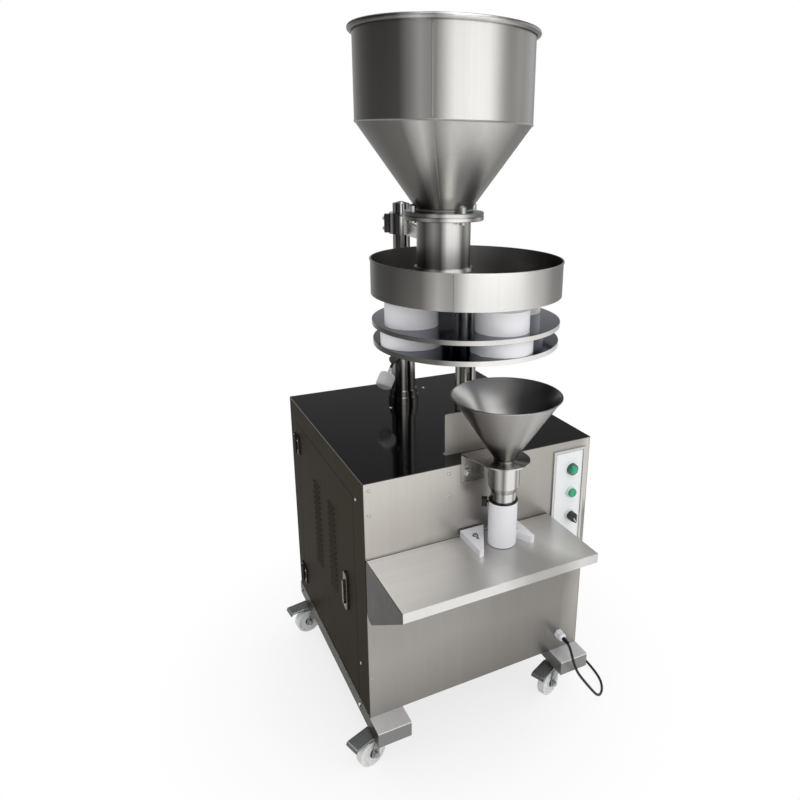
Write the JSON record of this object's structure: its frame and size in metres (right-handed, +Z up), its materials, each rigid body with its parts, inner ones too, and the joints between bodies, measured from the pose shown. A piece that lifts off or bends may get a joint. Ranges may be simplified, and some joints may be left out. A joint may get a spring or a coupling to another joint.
{
  "type": "granule filling machine",
  "caption": "Floor-standing volumetric cup filler: feed hopper over a turntable of measuring cups, drop funnel and bottle shelf on a castered cabinet.",
  "frame": {"origin": "on the floor under the middle of the cabinet's plan", "axes": "+Z up, -Y towards the operator and the bottle shelf, +X to the operator's right"},
  "size_m": [0.7513, 1.005, 1.676],
  "materials": {
    "stainless": "brushed",
    "stainless_mirror": "polished",
    "zinc": "satin",
    "dark_steel": "satin",
    "white_nylon": "satin",
    "wheel_nylon": "satin",
    "black_plastic": "matte",
    "grey_grip": "satin",
    "panel_white": "satin",
    "lamp_green": "gloss",
    "motor_grey": "satin",
    "belt_rubber": "matte",
    "cord_black": "matte"
  },
  "bodies": {
    "machine_frame": {"base_beams": "stainless", "front_panel": "stainless", "wrap_panel": "stainless", "left_frame": "stainless", "top_plate": "stainless_mirror", "bottom_plate": "stainless", "shelf": "stainless", "bottle_locators": "white_nylon", "guard_plate": "stainless", "funnel_bracket": "stainless", "discharge_funnel": "stainless_mirror", "column_tube": "stainless", "shaft_housing": "zinc", "shaft_bearings": "zinc", "gear_motor": "motor_grey", "drive_belt": "belt_rubber", "electrical_board": "zinc", "control_panel": "panel_white", "indicator_lamp": "lamp_green", "control_bezels": "white_nylon", "cable_gland": "white_nylon", "frame_hinges": "black_plastic", "caster_plates": "zinc", "mains_cord": "cord_black", "cord_coil": "cord_black", "mains_plug": "cord_black"},
    "turntable": {"bowl": "stainless_mirror", "measuring_cups": "white_nylon", "rotor_shaft": "zinc", "driven_pulley": "zinc"},
    "sleeve_carrier": {"sleeve_disc": "stainless", "cup_sleeves": "white_nylon"},
    "lower_disc": {"bottom_disc": "stainless"},
    "motor_output": {"drive_pulley": "zinc"},
    "hopper_mast": {"mast": "stainless"},
    "hopper": {"hopper_arm": "stainless", "hopper_neck": "stainless", "hopper_shell": "stainless_mirror", "flange_bolts": "zinc"},
    "mast_lever": {"clamp_lever": "grey_grip"},
    "door": {"door_panel": "stainless", "door_hinges": "black_plastic", "latch_housing": "zinc"},
    "latch": {"latch_handle": "zinc"},
    "start_button": {"push_button": "lamp_green"},
    "mode_selector": {"selector_knob": "black_plastic"},
    "outlet_sleeve": {"discharge_sleeve": "white_nylon"},
    "sleeve_screw": {"thumb_screw": "black_plastic"},
    "front_left_swivel": {"front_left_fork": "zinc"},
    "front_left_roller": {"front_left_wheel": "wheel_nylon"},
    "front_left_brake": {"front_left_pedal": "dark_steel"},
    "front_right_swivel": {"front_right_fork": "zinc"},
    "front_right_roller": {"front_right_wheel": "wheel_nylon"},
    "front_right_brake": {"front_right_pedal": "dark_steel"},
    "rear_left_swivel": {"rear_left_fork": "zinc"},
    "rear_left_roller": {"rear_left_wheel": "wheel_nylon"},
    "rear_left_brake": {"rear_left_pedal": "dark_steel"},
    "rear_right_swivel": {"rear_right_fork": "zinc"},
    "rear_right_roller": {"rear_right_wheel": "wheel_nylon"},
    "rear_right_brake": {"rear_right_pedal": "dark_steel"}
  },
  "joints": [
    {"name": "turntable_spin", "type": "hinge", "parent": "machine_frame", "child": "turntable", "pos_m": [0, -0.196, 1], "axis": [0, 0, 1], "continuous": true},
    {"name": "motor_spin", "type": "hinge", "parent": "machine_frame", "child": "motor_output", "pos_m": [0, -0.006, 0.6], "axis": [0, 0, 1], "continuous": true},
    {"name": "lower_disc_slide", "type": "slide", "parent": "machine_frame", "child": "lower_disc", "axis": [0, 0, 1], "range_m": [-0.025, 0.01]},
    {"name": "sleeve_carrier_slide", "type": "slide", "parent": "turntable", "child": "sleeve_carrier", "axis": [0, 0, 1], "range_m": [-0.025, 0.01]},
    {"name": "mast_lift", "type": "slide", "parent": "machine_frame", "child": "hopper_mast", "axis": [0, 0, 1], "range_m": [-0.01, 0.1]},
    {"name": "hopper_swing", "type": "hinge", "parent": "hopper_mast", "child": "hopper", "pos_m": [-0.018, 0.144, 1.25], "axis": [0, 0, 1], "range_deg": [-12, 12]},
    {"name": "lever_turn", "type": "hinge", "parent": "machine_frame", "child": "mast_lever", "pos_m": [-0.018, 0.144, 0.892], "axis": [-0.7986, -0.6018, 0], "range_deg": [0, 90]},
    {"name": "door_swing", "type": "hinge", "parent": "machine_frame", "child": "door", "pos_m": [-0.3065, 0.24675, 0.42], "axis": [0, 0, -1], "range_deg": [0, 115]},
    {"name": "latch_turn", "type": "hinge", "parent": "door", "child": "latch", "pos_m": [-0.3, -0.166, 0.437], "axis": [-1, 0, 0], "range_deg": [0, 90]},
    {"name": "button_press", "type": "slide", "parent": "machine_frame", "child": "start_button", "axis": [0, 1, 0], "range_m": [0, 0.004], "stiffness_N_per_m": 300, "springref_m": -0.002},
    {"name": "selector_turn", "type": "hinge", "parent": "machine_frame", "child": "mode_selector", "pos_m": [0.248, -0.32, 0.554], "axis": [0, -1, 0], "range_deg": [0, 90]},
    {"name": "outlet_sleeve_slide", "type": "slide", "parent": "machine_frame", "child": "outlet_sleeve", "axis": [0, 0, 1], "range_m": [0, 0.02]},
    {"name": "sleeve_screw_turn", "type": "hinge", "parent": "outlet_sleeve", "child": "sleeve_screw", "pos_m": [0.009, -0.373, 0.677], "axis": [-0.866, 0.5, 0], "range_deg": [-180, 180]},
    {"name": "front_left_turn", "type": "hinge", "parent": "machine_frame", "child": "front_left_swivel", "pos_m": [-0.258, -0.284, 0.09], "axis": [0, 0, 1], "continuous": true},
    {"name": "front_left_roll", "type": "hinge", "parent": "front_left_swivel", "child": "front_left_roller", "pos_m": [-0.29604, -0.29636, 0.0375], "axis": [-0.309, 0.9511, 0], "continuous": true},
    {"name": "front_left_press", "type": "hinge", "parent": "front_left_swivel", "child": "front_left_brake", "pos_m": [-0.27512, -0.28956, 0.08], "axis": [0.309, -0.9511, 0], "range_deg": [0, 10]},
    {"name": "front_right_turn", "type": "hinge", "parent": "machine_frame", "child": "front_right_swivel", "pos_m": [0.258, -0.284, 0.09], "axis": [0, 0, 1], "continuous": true},
    {"name": "front_right_roll", "type": "hinge", "parent": "front_right_swivel", "child": "front_right_roller", "pos_m": [0.22118, -0.29963, 0.0375], "axis": [-0.3907, 0.9205, 0], "continuous": true},
    {"name": "front_right_press", "type": "hinge", "parent": "front_right_swivel", "child": "front_right_brake", "pos_m": [0.24143, -0.29103, 0.08], "axis": [0.3907, -0.9205, 0], "range_deg": [0, 10]},
    {"name": "rear_left_turn", "type": "hinge", "parent": "machine_frame", "child": "rear_left_swivel", "pos_m": [-0.258, 0.268, 0.09], "axis": [0, 0, 1], "continuous": true},
    {"name": "rear_left_roll", "type": "hinge", "parent": "rear_left_swivel", "child": "rear_left_roller", "pos_m": [-0.2977, 0.26312, 0.0375], "axis": [-0.1219, 0.9925, 0], "continuous": true},
    {"name": "rear_left_press", "type": "hinge", "parent": "rear_left_swivel", "child": "rear_left_brake", "pos_m": [-0.27587, 0.26581, 0.08], "axis": [0.1219, -0.9925, 0], "range_deg": [0, 10]},
    {"name": "rear_right_turn", "type": "hinge", "parent": "machine_frame", "child": "rear_right_swivel", "pos_m": [0.258, 0.268, 0.09], "axis": [0, 0, 1], "continuous": true},
    {"name": "rear_right_roll", "type": "hinge", "parent": "rear_right_swivel", "child": "rear_right_roller", "pos_m": [0.21975, 0.25631, 0.0375], "axis": [-0.2924, 0.9563, 0], "continuous": true},
    {"name": "rear_right_press", "type": "hinge", "parent": "rear_right_swivel", "child": "rear_right_brake", "pos_m": [0.24079, 0.26274, 0.08], "axis": [0.2924, -0.9563, 0], "range_deg": [0, 10]}
  ],
  "couplings": [
    {"joint": "motor_spin", "follows": "turntable_spin", "ratio": 1.5},
    {"joint": "sleeve_carrier_slide", "follows": "lower_disc_slide", "ratio": 1}
  ]
}
